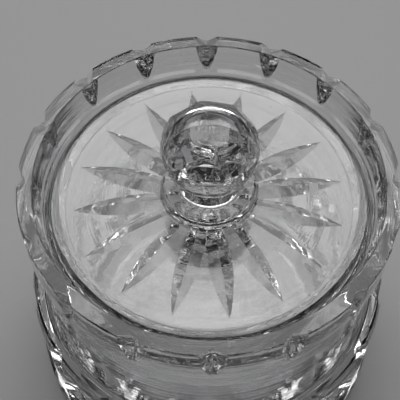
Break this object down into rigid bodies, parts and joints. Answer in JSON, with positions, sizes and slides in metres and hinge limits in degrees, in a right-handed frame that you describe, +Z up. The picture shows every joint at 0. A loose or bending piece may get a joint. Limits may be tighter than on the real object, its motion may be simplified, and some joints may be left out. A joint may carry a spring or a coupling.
{
  "type": "powder jar",
  "caption": "Squat cut-crystal vanity jar with a notched collar and a drop-in glass lid that has a faceted ball knob and a star cut underneath.",
  "frame": {"origin": "on the table, under the middle of the jar's base", "axes": "+Z up the jar's axis, through the knob; -Y towards the person in front of it"},
  "size_m": [0.1096, 0.1096, 0.1093],
  "materials": {
    "clear_crystal": "clear, cut and polished"
  },
  "bodies": {
    "jar": {"jar": "clear_crystal"},
    "lid": {"lid": "clear_crystal"}
  },
  "joints": [
    {"name": "lid_lift", "type": "slide", "parent": "jar", "child": "lid", "axis": [0, 0, 1], "range_m": [0, 0.06]}
  ]
}
